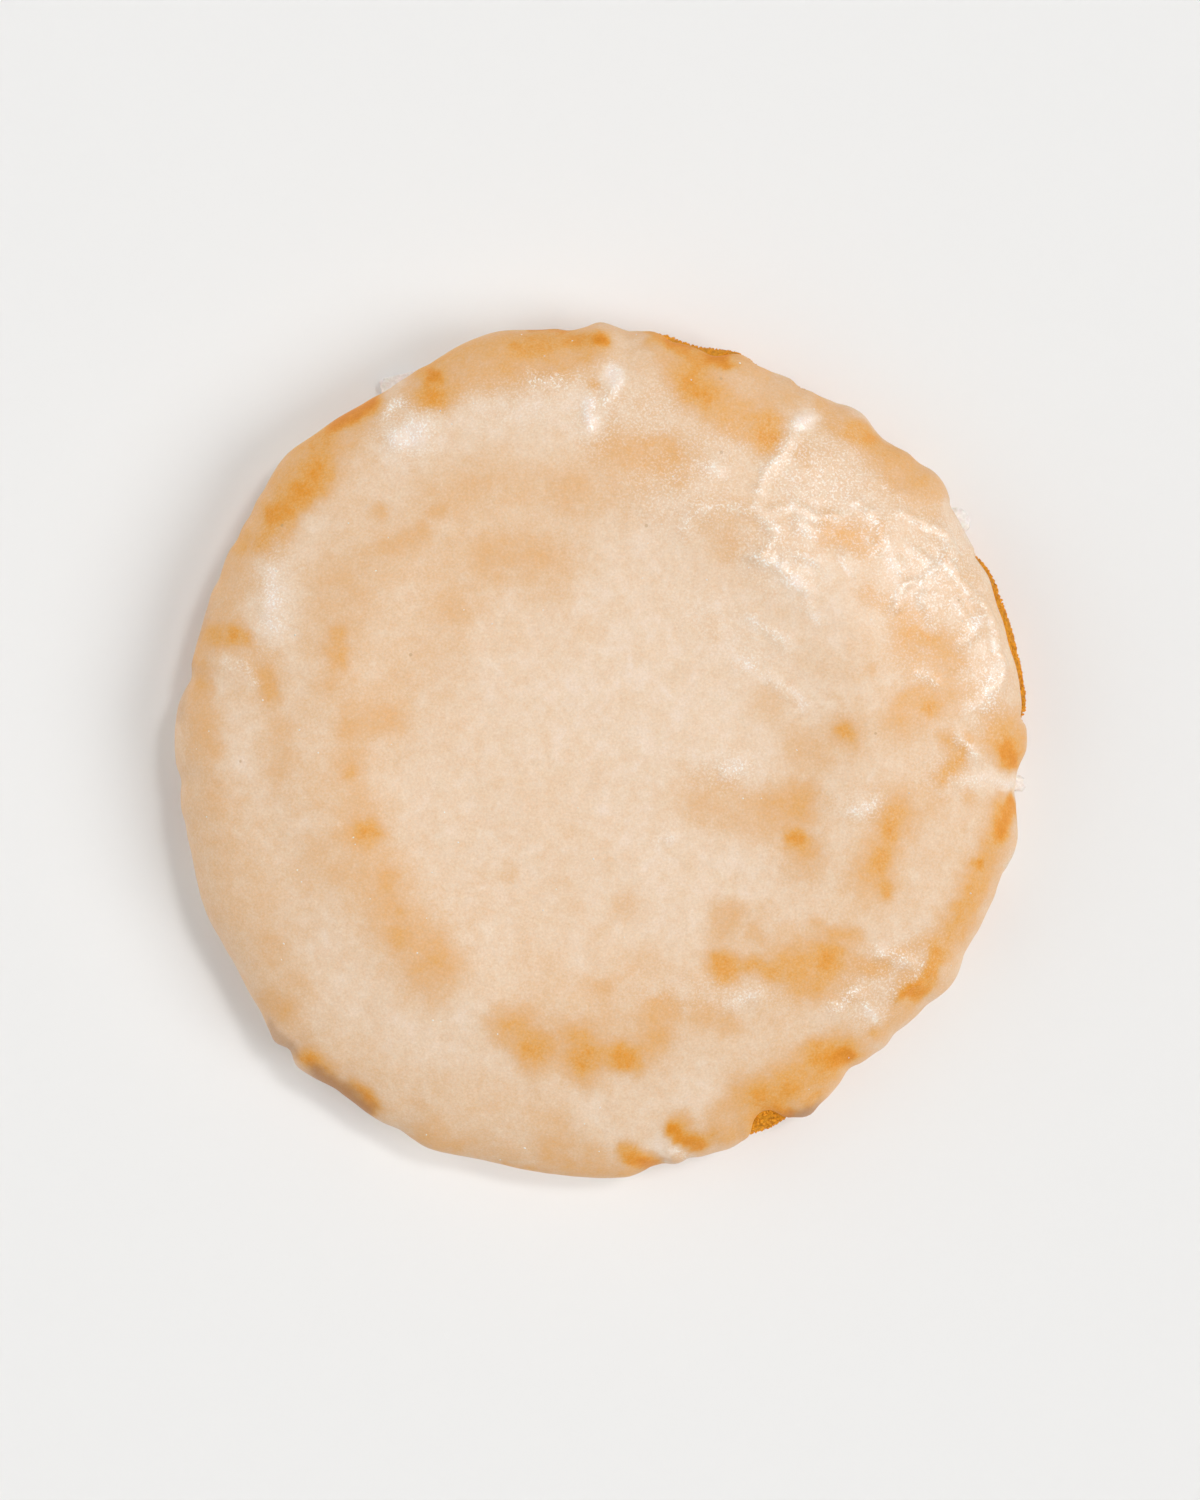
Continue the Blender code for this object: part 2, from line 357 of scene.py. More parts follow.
def makeGlazeMaterial():
    look = glazeLook
    material, tree, shader, where = newMaterial("sugarGlaze")
    cover, crumpled, crest = (attributeOf(tree, name) for name in ("cover", "crumpled", "crest"))
    cloud = noise(tree, where, look["cloudSize"], detail=6, rough=0.62, bend=0.5)
    grain = noise(tree, where, look["grainSize"], detail=2, rough=0.6)
    patchy = plus(tree, look["patchiness"], cover, -look["evenWhereThick"])
    for pattern, share in ((cloud, look["cloudShare"]), (grain, look["grainShare"])):
        cover = plus(tree, cover, swing(tree, pattern, share), patchy)
    # fold crests are lifted towards white, a painted highlight
    colour = ramp(tree, plus(tree, cover, crest, look["crestHighlightLift"]), look["colours"])
    speckle = noise(tree, where, look["speckleSize"], detail=1, rough=0.5)
    shade = node(tree, "ShaderNodeMapRange", Value=speckle, From_Min=0.25, From_Max=0.75,
                 To_Min=1 - look["speckleShare"], To_Max=1 + look["speckleShare"]).outputs[0]
    colour = mixed(tree, 1.0, colour, shade, "MULTIPLY")
    # darker brown where the darkening places are; beside the notch this is painted shadow
    colour = mixed(tree, attributeOf(tree, "darkening"), colour, (*look["darkening"], 1))

    # painted highlight: whitish sugar-crystal specks are mixed into the colour, strongest where
    # the crumpled or folded skin shines; the same crystals bump the coat
    crystals = noise(tree, where, look["crystalSize"], detail=2, rough=0.6)
    low, high = look["crystalRange"]
    bright = node(tree, "ShaderNodeMapRange", {"interpolation_type": "SMOOTHSTEP"},
                  Value=crystals, From_Min=low, From_Max=high).outputs[0]
    everywhere, onCrumples, onCrests = look["crystalGlintShares"]
    paintedGlint = plus(tree, plus(tree, everywhere, crumpled, onCrumples), crest, onCrests)
    thick = maths(tree, "MULTIPLY", cover, look["crystalCover"], clamp=True)
    paintedGlint = maths(tree, "MULTIPLY", paintedGlint, thick)
    colour = mixed(tree, maths(tree, "MULTIPLY", bright, paintedGlint), colour,
                   (*look["crystalGlintColour"], 1))

    holes = node(tree, "ShaderNodeTexVoronoi", {"feature": "F1"}, Vector=where,
                 Scale=1 / (look["pinholeSpacing"] * mm))
    reach = look["pinholeWidth"] / 2 / look["pinholeSpacing"]
    hole = maths(tree, "LESS_THAN", holes.outputs["Distance"], reach)
    # pinholes: crust colour with painted shade in the hole
    colour = mixed(tree, maths(tree, "MULTIPLY", hole, look["pinholeCrustAndShadeShare"]), colour,
                   (*look["pinholeCrustAndShadeColour"], 1))
    waxy = plus(tree, look["roughness"], swing(tree, cloud, look["roughnessChange"]), 1.0)
    skin = bumped(tree, noise(tree, where, look["skinSize"], detail=3), look["skinBump"])
    grainy = bumped(tree, grain, look["grainBump"], skin)
    pitted = bumped(tree, maths(tree, "SUBTRACT", 1.0, hole), look["pinholeDepth"], grainy)
    glitter = bumped(tree, crystals, look["crystalBump"], skin)
    everywhere, onCrumples, onCrests = look["coatShares"]
    wet = plus(tree, plus(tree, everywhere, crumpled, onCrumples), crest, onCrests, clamp=True)
    fill(tree, shader, Base_Color=colour, Roughness=waxy, Normal=pitted, Coat_Weight=wet,
         Coat_Normal=glitter, Coat_Roughness=0.15, Subsurface_Weight=0.15,
         Subsurface_Scale=0.0010, Subsurface_Radius=(1.0, 0.6, 0.35))
    return material


crumbLook = {
    "colours": [(0.25, (0.30, 0.095, 0.004)), (0.45, (0.58, 0.22, 0.010)),
                (0.75, (0.79, 0.35, 0.03))],
    "grainSize": 0.45,
    "grainBump": 0.16,
    "patchSize": 4.0,
    "patchShare": 0.5,
    "patchBump": 0.3,
    "roughness": 0.82,
    "roughnessChange": 0.2,
    "looseLift": 0.12,  # loose crumbs are lighter
}


def makeCrumbMaterial(name, lift):
    look = crumbLook
    material, tree, shader, where = newMaterial(name)
    grain = noise(tree, where, look["grainSize"], detail=3, rough=0.65)
    patch = noise(tree, where, look["patchSize"], detail=3)
    value = plus(tree, grain, swing(tree, patch, look["patchShare"]), 1.0)
    colour = ramp(tree, maths(tree, "ADD", value, lift), look["colours"])
    rough = plus(tree, look["roughness"], swing(tree, grain, look["roughnessChange"]), 1.0)
    pores = bumped(tree, grain, look["grainBump"], bumped(tree, patch, look["patchBump"]))
    fill(tree, shader, Base_Color=colour, Roughness=rough, Normal=pores, Specular_IOR_Level=0.2)
    return material


flakeLook = {
    "colours": [(0.3, (0.68, 0.63, 0.59)), (0.7, (0.84, 0.81, 0.78))],
    "chalkSize": 0.35,
    "chalkBump": 0.06,
    "roughness": 0.35,
    "roughnessChange": 0.3,
}


def makeFlakeMaterial():
    look = flakeLook
    material, tree, shader, where = newMaterial("dryGlazeFlake")
    chalk = noise(tree, where, look["chalkSize"], detail=3)
    fill(tree, shader, Base_Color=ramp(tree, chalk, look["colours"]),
         Roughness=plus(tree, look["roughness"], chalk, look["roughnessChange"]),
         Normal=bumped(tree, chalk, look["chalkBump"]), Subsurface_Weight=0.2,
         Subsurface_Scale=0.0006)
    return material


glazeMaterial = makeGlazeMaterial()
crumbMaterial = makeCrumbMaterial("bakedCrumb", 0.0)
grainMaterial = makeCrumbMaterial("looseCrumb", crumbLook["looseLift"])
flakeMaterial = makeFlakeMaterial()
print("materials made")


# Geometry node trees: one helper makes a tree with named inputs, one runs it on a piece.
def newTree(name, inputs):
    tree = bpy.data.node_groups.new(name, "GeometryNodeTree")
    tree.interface.new_socket("Geometry", in_out="INPUT", socket_type="NodeSocketGeometry")
    for label, kind in inputs.items():
        tree.interface.new_socket(label, in_out="INPUT", socket_type="NodeSocket" + kind)
    tree.interface.new_socket("Geometry", in_out="OUTPUT", socket_type="NodeSocketGeometry")
    return tree, tree.nodes.new("NodeGroupInput").outputs, tree.nodes.new("NodeGroupOutput")


def grown(carrier, tree, values, name):
    modifier = carrier.modifiers.new(tree.name, "NODES")
    modifier.node_group = tree
    for item in tree.interface.items_tree:
        if item.in_out == "INPUT" and item.name in values:
            modifier[item.identifier] = values[item.name]
    graph = bpy.context.evaluated_depsgraph_get()
    mesh = bpy.data.meshes.new_from_object(carrier.evaluated_get(graph))
    carrier.modifiers.remove(modifier)
    mesh.name = name
    return mesh


def maskOf(tree, given):
    return node(tree, "GeometryNodeInputNamedAttribute", {"data_type": "FLOAT"},
                Name=given["Mask"]).outputs[0]


def closeTree(tree, given, geometry, result):
    whole = node(tree, "GeometryNodeRealizeInstances", Geometry=geometry).outputs[0]
    painted = node(tree, "GeometryNodeSetMaterial", Geometry=whole,
                   Material=given["Material"]).outputs[0]
    tree.links.new(painted, result.inputs[0])
    return tree


def makeRoughenTree():
    # pushes a surface in and out along its normals by two sizes of noise
    tree, given, result = newTree("roughenSurface", {
        "Grain Size": "Float", "Grain Depth": "Float", "Lump Size": "Float",
        "Lump Depth": "Float", "Mask": "String", "Material": "Material"})
    position = node(tree, "GeometryNodeInputPosition").outputs[0]
    normal = node(tree, "GeometryNodeInputNormal").outputs[0]
    pushes = []
    for size, depth in (("Grain Size", "Grain Depth"), ("Lump Size", "Lump Depth")):
        pattern = node(tree, "ShaderNodeTexNoise", Vector=position, Detail=2.0,
                       Scale=maths(tree, "DIVIDE", 1.0, given[size])).outputs["Fac"]
        pushes.append(swing(tree, pattern, given[depth]))
    total = maths(tree, "MULTIPLY", maths(tree, "ADD", *pushes), 2.0)
    total = maths(tree, "MULTIPLY", total, maskOf(tree, given))
    offset = node(tree, "ShaderNodeVectorMath", {"operation": "SCALE"}, Vector=normal,
                  Scale=total).outputs[0]
    moved = node(tree, "GeometryNodeSetPosition", Geometry=given["Geometry"],
                 Offset=offset).outputs[0]
    return closeTree(tree, given, moved, result)


def makeScatterTree():
    # sets small uneven grains half into a surface, where a mask allows
    tree, given, result = newTree("scatterGrains", {
        "Grain Size": "Float", "Grains Per Area": "Float", "Seed": "Int",
        "Mask": "String", "Material": "Material"})

    def drawn(low, high):
        return node(tree, "FunctionNodeRandomValue", {"data_type": "FLOAT_VECTOR"}, i0=low,
                    i1=high, Seed=given["Seed"]).outputs[0]

    density = maths(tree, "MULTIPLY", maskOf(tree, given), given["Grains Per Area"])
    points = node(tree, "GeometryNodeDistributePointsOnFaces", {"distribute_method": "RANDOM"},
                  Mesh=given["Geometry"], Density=density, Seed=given["Seed"]).outputs["Points"]
    grain = node(tree, "GeometryNodeMeshIcoSphere", Radius=0.5, Subdivisions=1).outputs[0]
    size = node(tree, "ShaderNodeVectorMath", {"operation": "SCALE"},
                Vector=drawn((0.45, 0.45, 0.4), (1.35, 1.15, 0.9)),
                Scale=given["Grain Size"]).outputs[0]
    turn = drawn((0.0, 0.0, 0.0), (6.28, 6.28, 6.28))
    grains = node(tree, "GeometryNodeInstanceOnPoints", Points=points, Instance=grain,
                  Rotation=turn, Scale=size).outputs[0]
    return closeTree(tree, given, grains, result)


roughenTree = makeRoughenTree()
scatterTree = makeScatterTree()


def roughen(piece, sizes, mask, material):
    labels = ("Grain Size", "Grain Depth", "Lump Size", "Lump Depth")
    values = {label: size * mm for label, size in zip(labels, sizes)}
    old = piece.data
    piece.data = grown(piece, roughenTree, {**values, "Mask": mask, "Material": material},
                       piece.name)
    bpy.data.meshes.remove(old)


def settle(piece):
    # nothing reaches below the floor
    points = np.empty(3 * len(piece.data.vertices))
    piece.data.vertices.foreach_get("co", points)
    points[2::3] = np.maximum(points[2::3], 0)
    piece.data.vertices.foreach_set("co", points)
    piece.data.update()


def scatter(name, carrier, grainSize, perSquare, seed, mask, material):
    return added(name, grown(carrier, scatterTree, {
        "Grain Size": grainSize * mm, "Grains Per Area": perSquare / mm ** 2, "Seed": seed,
        "Mask": mask, "Material": material}, name))


# How well the glaze hides the crust (0 bare, 1 white): level, width of the brush, then x
# and y of each point that it goes through. Wide strokes are laid first, narrow ones over
# them, and strokes of one width in the order of the list. One near-white stroke is a painted
# highlight.
stains = [
    # upper left
    (0.42, 5, -17, 40.6, -12, 41.6, -7, 42.2, -2, 42.2), (0.15, 1, -7, 44.3, -3.5, 44.4),
    (0.34, 2.4, -8.5, 42, -6, 42.3), (0.3, 1.8, -3.5, 43, 0, 43), (0.04, 1.8, 0.3, 42.9),
    (0.35, 0.9, -18.5, 40.3, -16, 41.2), (0.12, 2, -17.4, 39), (0.24, 2.2, -17.6, 36.6),
    (0.48, 3, -19, 36.8, -17, 38.5, -16.2, 37), (0.45, 1.2, -0.8, 38.1),
    (0.65, 1.5, 1, 44.5, 4, 43.9), (0.02, 2.2, -27.3, 34.6, -24, 36.3),
    (0.36, 5, -28, 33.5, -30, 31.5, -30.5, 29), (0.5, 2.5, -26, 33.5), (0.6, 2, -25.8, 32.5),
    (0.5, 4, -32.5, 30, -34, 28), (0.32, 3.4, -29.5, 28.5), (0.24, 3, -31, 26.5),
    (0.24, 3.4, -33.5, 24.5), (0.55, 2, -33, 22.5), (0.5, 3.5, -36.5, 25, -38.5, 22),
    (0.42, 1.5, -37.5, 21.8), (0.6, 4.5, -39, 19, -40.5, 16), (0.66, 3, -37, 17.5),
    (0.42, 2.4, -41, 12, -39.5, 12, -37.5, 12), (0.2, 1.3, -37.8, 12), (0.5, 1.5, -36.7, 11.5),
    (0.55, 2.5, -42.5, 10.5, -41.5, 7), (0.45, 1.5, -41, 6.7),
    (0.6, 3, -41.5, 5, -41.5, 2, -40.8, 0), (0.68, 2, -40.6, -2, -40.2, -6),
    (0.5, 2, -34.5, 7.5, -34.2, 6), (0.66, 3, -36, 9.5, -34.5, 8, -34.3, 5.5),
    (0.7, 3, -33, 2, -32.8, -2), (0.82, 4, -38.5, 8), (0.84, 4, -37, 3, -37, -2),
    (0.88, 4, -33.5, 18, -33.5, 13), (0.86, 4, -31, 22, -29, 24), (0.94, 4, -19.3, 32.5),
    (0.9, 3, -21.5, 30.5), (0.87, 7, -16, 35, -9, 35.5, -3, 34.5), (0.96, 2.2, 1.5, 38.5),
    (0.92, 2.4, -0.8, 33.5), (0.62, 1.7, -22.5, 24.5), (0.58, 1.8, -16.7, 25),
    (0.66, 2, -14, 26.8, -11.5, 27.5), (0.62, 3, -3, 27),
    (0.71, 5, -17, 25.5, -13, 27, -8, 27.5, -3, 27, 2, 27.5), (0.62, 2, -21.5, 20.8, -18.5, 22.5),
    (0.72, 5, -27, 16, -24, 19, -20, 21), (0.65, 2.5, -25.3, 16.2),
    (0.63, 4, -11, 20, -8, 21, -6.5, 20), (0.73, 6, -14, 19.5, -9, 19.5, -5, 19),
    (0.66, 3, -15.3, 14.8), (0.75, 5, -17, 12, -15, 15), (0.5, 1.8, -27, 12, -26.8, 9),
    (0.7, 4, -27.5, 17, -27, 11, -27.5, 6.5), (0.6, 1.4, -27.4, 6.7),
    (0.58, 2.8, -25.5, 3, -21.5, 3), (0.52, 1.2, -21.8, 3), (0.69, 4, -24, 4, -22, 5),
    (0.45, 1.6, -26, -2.5), (0.62, 3, -25.5, 1, -25.8, -3, -25.2, -5.5),
    (0.78, 14, -22, 8, -20, 14),
    # lower left
    (0.74, 8, -42, -2, -41.5, -8, -39, -16, -36, -22), (0.66, 2, -40.3, -4.5),
    (0.68, 3, -34.5, -20.8), (0.54, 3, -34.3, -26, -32.8, -27), (0.68, 3, -31.5, -24),
    (0.85, 7, -27, -23, -25, -25), (0.36, 2.3, -30.5, -32.3, -28.7, -33.8),
    (0.24, 1.7, -30.2, -32.7), (0.4, 1.5, -28.5, -34.8, -26, -36.2),
    (0.3, 2.4, -25.5, -36.1, -24.2, -36.9), (0.18, 1.6, -25, -36.4),
    (0.55, 2, -19, -40.5, -15, -42), (0.6, 3, -17.5, -39.7), (0.7, 1, -18.6, -37),
    (0.66, 3, -14, -41.5, -10, -42.8), (0.47, 1.3, -9.5, -43.8, -7.2, -44.2),
    (0.6, 2, -5, -41.5, -4.5, -44), (0.55, 2.5, -5, -44.3, -1, -44.5, 3, -44.3),
    (0.68, 5, -5, -40, -4, -43), (0.64, 3, -1, -42.5), (0.78, 6, -17, -36.5, -6, -38),
    (0.6, 5, -22.5, -13.5, -21.5, -16, -20, -18.5, -17.5, -20.5, -16.2, -22),
    (0.48, 1.7, -21.7, -13.2), (0.52, 1.8, -21.3, -16.3), (0.45, 2.2, -20.3, -19),
    (0.5, 2.8, -17, -21), (0.56, 3, -18, -22.5),
    (0.73, 5.5, -25.5, -11.5, -24, -15, -21.5, -19, -18, -24), (0.33, 2.8, -24.1, -8.5),
    (0.6, 5, -24.5, -8.5), (0.68, 3, -26, -4.5, -25.3, -6.5), (0.7, 5, -29, -11.5),
    (0.72, 3, -28.5, -4.5), (0.45, 2.2, -8.7, -28.5), (0.38, 2.8, -6.8, -30.5),
    (0.55, 4.5, -9, -28.8, -6.5, -30.5), (0.3, 3, -1.8, -32), (0.5, 4, -2, -30, -1.8, -32.5),
    (0.42, 1.6, -2, -29.8), (0.22, 2.2, 2.2, -31.7), (0.42, 2.8, 0.5, -31.7, 3.5, -31.7),
    (0.58, 1.8, 0.3, -24.5), (0.75, 3, -5, -25.5, 0, -24.8, 3, -23, 5, -22), (0.74, 3, 2.5, -16),
    (0.76, 2, -9.5, -12.5), (0.1, 1.6, 3, -42, 4, -43, 5.5, -43.6), (0.45, 1.6, 2.8, -41.5),
    (0.76, 9, -6, -27.5, 4, -30),
    # lower right
    (0.1, 1.6, 42.4, 0.5, 42.8, -1.3), (0.38, 3, 41.5, 1.5, 42.5, 1.5, 43.8, -2.3),
    (0.55, 4, 42.3, 3, 42.8, 0), (0.52, 1.4, 38.4, 1.3), (0.52, 2, 36, 1, 37, -0.5, 36.8, -2),
    (0.45, 1.2, 36.8, -1), (0.58, 1.8, 36, -2, 35, -3),
    (0.87, 2.6, 38, -2.5, 40.5, -3.2, 43, -3.5), (0.62, 1.5, 38.5, -5), (0.5, 1.2, 41.8, -4.8),
    (0.12, 1.7, 42.9, -6, 42.2, -7.5, 41.8, -8.7), (0.36, 3, 42.5, -5.5, 41.5, -9),
    (0.45, 3, 42, -9.5, 40.3, -11.5, 38.5, -15, 37.5, -18, 35.3, -21), (0.15, 0.9, 39.2, -12),
    (0.42, 2.2, 38, -17), (0.7, 1.8, 43.6, -9, 42, -14, 39.5, -19.5),
    (0.3, 1.4, 35, -21.3, 34, -24), (0.08, 2, 33.7, -24.7, 32, -25.7), (0.4, 4, 32.5, -25),
    (0.52, 2, 31.5, -27), (0.6, 1.5, 31, -27.5, 29.5, -29.5), (0.45, 1.1, 28.4, -29.3),
    (0.95, 1.2, 28.1, -27.5), (0.7, 2, 36.5, -24.5, 33, -28), (0.6, 1.4, 30.5, -21.3, 33, -20.5),
    (0.5, 1.8, 26.5, -22.3, 29, -22.5), (0.5, 4, 12.7, -22.3), (0.3, 2.6, 12.7, -22.5),
    (0.4, 1.8, 15.5, -22, 17.5, -22.5, 19, -22.8), (0.42, 3.5, 20.5, -22, 23.5, -21.7),
    (0.32, 2.4, 23.6, -21.7), (0.42, 2.6, 21.5, -24.7), (0.56, 6, 19.5, -22.5, 24, -22.5),
    (0.5, 1.6, 24, -19, 26.3, -19.2), (0.62, 1.6, 22.8, -18), (0.62, 3, 13.2, -17),
    (0.65, 3, 12.5, -18.5), (0.64, 2, 16, -18.7), (0.72, 2, 16.7, -16.7),
    (0.6, 4.5, 31, -6, 29, -10, 28, -13.5),
    (0.42, 2.6, 30.5, -6.8, 29.8, -8.7, 29.2, -10.5, 28.3, -12), (0.3, 1.6, 29.7, -8.8),
    (0.33, 1.6, 28.8, -11.3), (0.35, 1.8, 29.6, -14.2), (0.48, 1, 27.3, -13),
    (0.52, 3.5, 20.2, -5), (0.56, 4, 17.5, -6, 20.5, -5.5), (0.45, 1.4, 20.5, -6),
    (0.42, 2.4, 20, -9, 20.8, -10), (0.25, 1.7, 20, -9.2), (0.7, 5, 11, -5.5, 15, -6.5, 20, -7),
    (0.66, 2.5, 12, -5.3), (0.74, 3, 9, -4), (0.66, 4, 21, -11.5), (0.7, 2.5, 34, -5.5),
    (0.5, 2.6, 6.3, -26.8, 5.8, -28.5, 5.5, -30), (0.55, 2, 7, -26.5),
    (0.71, 5, 8, -27.5, 5.5, -29), (0.62, 2.4, 10, -26.5, 13, -28.3),
    (0.05, 2.2, 16.5, -39.5, 18.5, -38.5, 19.5, -38.2),
    (0.42, 5, 15, -36.8, 18, -36, 22, -33.5, 25, -32), (0.26, 3, 17.3, -36.3), (0.3, 2, 19.5, -35),
    (0.25, 2.4, 23, -32, 25, -32), (0.1, 1.6, 24.3, -32.5, 26, -32), (0.45, 1.5, 21, -37, 23, -36),
    (0.4, 2.5, 22.3, -31.3), (0.45, 2, 10, -40.5, 15, -40), (0.6, 4, 13, -38.5),
    (0.15, 1.5, 7.7, -39.3, 8.8, -40.5, 10.5, -41.2), (0.5, 2, 8.5, -38.5),
    (0.92, 2.4, 6, -41.5, 7, -42.5), (0.86, 5, 10, -35.5), (0.68, 1.6, 8, -42.8, 14, -41.7),
    # upper right
    (0.28, 1.6, 8.3, 42.3, 10, 41.6, 14, 40.9), (0.36, 3, 10, 40.5, 9.3, 38.5, 10.5, 37),
    (0.25, 1.6, 9.3, 38), (0.3, 1.5, 10.8, 37), (0.5, 4.5, 8.5, 40, 10, 38, 13, 35.5, 16, 34),
    (0.58, 1.8, 16, 39.2), (0.48, 3, 13, 35, 15.5, 33.8), (0.28, 2, 17.2, 32.7),
    (0.4, 2.6, 17.3, 33.5, 16.8, 31.8), (0.62, 4, 18, 37.5, 21, 37), (0.55, 2, 23, 36.3, 25, 34.5),
    (0.4, 3, 6.5, 30.3), (0.55, 2.4, 2, 30.7, 6.5, 30.4), (0.66, 5, 1.5, 30.8, 8, 30),
    (0.66, 1.5, 7.5, 27.5), (0.25, 1.2, 28.3, 32.5), (0.36, 2, 26.5, 33.3, 28.5, 32.3),
    (0.5, 3, 25.5, 34, 28, 33, 29.3, 31), (0.38, 1.6, 30.8, 31.2), (0.48, 3, 31, 31.5, 33, 29),
    (0.55, 4.5, 31, 29.8, 34.5, 27.8, 35.8, 26), (0.55, 2, 30.5, 28.3), (0.42, 1.5, 25.5, 21.7),
    (0.55, 1.8, 23.3, 22, 25.5, 21.7, 27, 20.8), (0.6, 1.2, 28.5, 23, 28.8, 21),
    (0.65, 2, 21, 30.4), (0.66, 2, 13.3, 20.5), (0.74, 6, 13, 23), (0.58, 3.5, 25.4, 1.8),
    (0.32, 1.6, 25.4, 1.8), (0.47, 2, 31.3, 5, 33, 5.3, 34, 4.3), (0.4, 1.3, 34, 4.4),
    (0.5, 1.6, 30.9, 3), (0.62, 4, 31, 3, 33.5, 5), (0.5, 1.4, 35.9, 5.7),
    (0.58, 2, 35, 8.5, 36, 6), (0.64, 4, 32, 9.5, 35, 9, 36.5, 6), (0.66, 2.5, 33.5, 13, 34, 11),
    (0.64, 2, 27.5, 16, 29.5, 15.5), (0.64, 1.2, 28, 8), (0.76, 4, 17.5, 4.5),
    (0.7, 4, 20.5, 0.5, 22.5, -0.5), (0.26, 2.4, 5.8, 43.4, 8, 43, 10, 42.3),
    (0.05, 1.5, 7.6, 43.1, 9, 42.7), (0.22, 2.4, 11.2, 41.7, 12.6, 41.3, 14.2, 40.8),
    (0.02, 1.6, 12, 41.5, 13.2, 41), (0.48, 1.5, 14.5, 41, 17.4, 40.1),
    (0.56, 1.3, 14.8, 39.5, 16.8, 39), (0.58, 3, 24.2, 22.6, 27.4, 21.8),
    (0.4, 1, 24.8, 22.2, 26.6, 21.8), (0.5, 3.6, 31.8, 12.6, 33.6, 11.4, 35.8, 10.4),
    (0.42, 1.8, 32.4, 11.9, 34.4, 11),
    # last touches, all round
    # the near-white stroke from 21.2, 34.2 to 22.4, 35.3 is a painted highlight on the top of a
    # fold
    (0.4, 1.1, 37.2, -0.1, 36.2, -1.6, 35.4, -2.9), (0.94, 2.4, 21.2, 34.2, 22.4, 35.3),
    (0.42, 1.5, -38.8, 12, -37.4, 11.4), (0.87, 12, -24, -21, -14, -29, 0, -36, 7, -36),
    (0.55, 4.5, -15, 38.9, -10, 39.8, -5, 40.3), (0.44, 5, -31.5, 29.5, -33.5, 25, -35, 22.5),
    (0.78, 3, 43, 6, 42.3, 12, 40.5, 17), (0.84, 3, 36.5, 24.5, 38.5, 22),
    (0.8, 3, 27, 36, 30, 34), (0.88, 16, 2, 4, 6, 10), (0.87, 12, 6, -10, 12, -12),
    (0.86, 8, 20, 15, 24, 15),
]
# Where the glaze is darker brown: amount, width, then x and y of each point. The stroke beside the
# notch at the lower right is painted shadow.
darkenings = [
    (0.72, 2.4, -29.6, -34.2, -27, -36.2, -24.8, -37.6), (0.45, 1.8, -34.6, -29.4, -32.5, -31.6),
    # the first stroke on the next line, beside the notch at the lower right, is painted shadow
    (0.7, 2, 20.2, -38.6, 22.5, -37.8), (0.25, 1.6, -43.4, 9, -44.2, 4),
    (0.25, 1.4, -41.6, 15, -42.6, 12), (0.2, 1.8, 4.5, -44.2, 8, -43.4),
]

# The ground that the stains lie on: level in the middle, how it falls towards the rim
# (amount, start and width), its mottling (size, depth, seed), and the spread of a brush.
ground = {
    "level": 0.855,
    "falls": ((0.05, 16, 12), (0.06, 37, 6)),
    "mottling": ((9.0, 0.02, 5), (4.2, 0.025, 6), (2.0, 0.03, 12), (1.0, 0.035, 13)),
    "brushSpread": 1.08,
}
# Down the side: below what height, and over how much, the colour runs even and sways.
# Mottling is depth, stretch along the height, size and seed, the sway's reach likewise.
sideRun = {
    "evenFrom": 7.0,
    "evenOver": 3.5,
    "evenShare": 0.75,
    "level": 0.70,
    "mottling": ((0.10, 1.6, 6.0, 31), (0.08, 1.0, 2.4, 32)),
    "swayFrom": 9.0,
    "swayOver": 5.0,
    "sway": (2.4, 1.8, 3.2, 33),
}

# Stretches of the edge with less glaze: from and to in degrees, how much higher the hem is
# there (bare crumb shows) or lower (it reaches down), and how thin the glaze runs out.
bareStretches = [
    (3.0, 28.5, 0.36, 0.4), (59.5, 63.0, 0.35, 0.5), (67.5, 85.5, -0.9, 0.55),
    (291.0, 297.0, 0.5, 0.4), (354.0, 356.5, 0.3, 0.6),
]
bareWaves = ((0.25, 23), (0.2, 57))  # how unevenly the hem lifts: amount and waves round
bareEnds = 1.6  # degrees over which a stretch starts and ends
# Where the glaze lies flatter against the side, under its dry flakes: middle, width, depth.
flatSides = [(118.8, 7.0, 0.45), (32.8, 4.5, 0.75), (355.4, 4.0, 0.3)]

glazeCoat = {
    "radius": 45.0,
    "topDepth": 1.2,
    "leastSideDepth": 0.75,
    "easeOver": 0.75,  # how far down the shoulder the top's depth becomes the side's
    "pointSpacing": 0.36,
    "hangingRings": 40,
    "hemThinning": (0.35, 0.88),  # by how much, and from what share of the way down
    "bareThinningFrom": 0.4,
    "lip": ((1.0, 0.55), (1.004, 0.25), (1.0, 0.0), (0.99, -0.2)),  # share down, share of depth
    "sunkIn": 0.1,  # the inner skin of the side lies this far inside the crust
    "bedDepth": 0.15,  # the inner skin of the top lies this far above it
    "innerCount": 180,
    "lumps": ((6.5, 0.12, 7), (2.6, 0.05, 8)),  # size, depth and seed
    "warps": ((4.2, 0.38, 3), (1.7, 0.36, 4), (0.8, 0.27, 9)),  # size, reach, seed: uneven edges
    "roughening": (1.5, 0.035, 3.2, 0.05),  # grain size and depth, lump size and depth
    "speckSize": 0.24,
    "specksPerSquare": 0.010,
    "speckSeed": 5,
}

